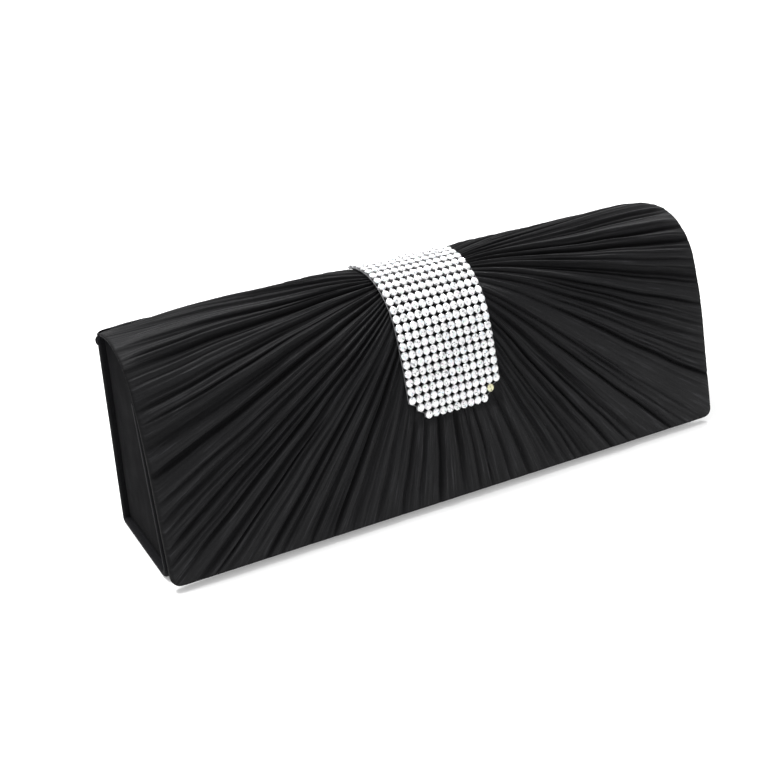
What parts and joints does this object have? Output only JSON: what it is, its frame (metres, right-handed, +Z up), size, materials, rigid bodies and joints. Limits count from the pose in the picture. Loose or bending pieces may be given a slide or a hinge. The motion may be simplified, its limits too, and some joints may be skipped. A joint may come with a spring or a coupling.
{
  "type": "evening bag",
  "caption": "Hard-case evening clutch with a full-height pleated satin flap, a central crystal band over the rounded top, a magnetic snap and recessed ends.",
  "frame": {"origin": "middle of the underside of the base, where the bag stands", "axes": "+X across the bag, -Y out of the flap's face, +Z up"},
  "size_m": [0.25, 0.059, 0.089],
  "materials": {
    "satin": "smooth black satin",
    "pleated_satin": "black satin gathered into fine irregular pleats",
    "lining": "thin black lining satin",
    "board": "grey paper board",
    "foam": "thin soft wadding",
    "nickel": "bright nickel plating",
    "magnet": "sintered ferrite",
    "band_backing": "black woven tape",
    "stone_cups": "bright silver-plated cups",
    "crystals": "foil-backed clear cut glass"
  },
  "bodies": {
    "case": {"back_board": "board", "base_board": "board", "front_board": "board", "left_end_board": "board", "right_end_board": "board", "case_cover": "satin", "left_end_cover": "satin", "right_end_cover": "satin", "hinge_strip": "satin", "case_lining": "lining", "left_end_lining": "lining", "right_end_lining": "lining", "slip_pocket": "lining", "left_ring_tab": "satin", "right_ring_tab": "satin", "snap_socket": "nickel", "snap_socket_plate": "nickel", "snap_magnet": "magnet", "snap_socket_washer": "nickel"},
    "flap": {"flap_board": "board", "flap_padding": "foam", "flap_cover": "pleated_satin", "flap_lining": "lining", "band_backing": "band_backing", "stone_cups": "stone_cups", "crystals": "crystals", "snap_stud": "nickel", "snap_stud_washer": "nickel"},
    "left_ring": {"left_strap_ring": "nickel"},
    "right_ring": {"right_strap_ring": "nickel"}
  },
  "joints": [
    {"name": "flap_hinge", "type": "hinge", "parent": "case", "child": "flap", "pos_m": [0, 0.0249, 0.082], "axis": [-1, 0, 0], "range_deg": [0, 180]},
    {"name": "left_ring_swing", "type": "hinge", "parent": "case", "child": "left_ring", "pos_m": [-0.106, 0.02095, 0.068], "axis": [-1, 0, 0], "range_deg": [0, 150]},
    {"name": "right_ring_swing", "type": "hinge", "parent": "case", "child": "right_ring", "pos_m": [0.106, 0.02095, 0.068], "axis": [-1, 0, 0], "range_deg": [0, 150]}
  ]
}
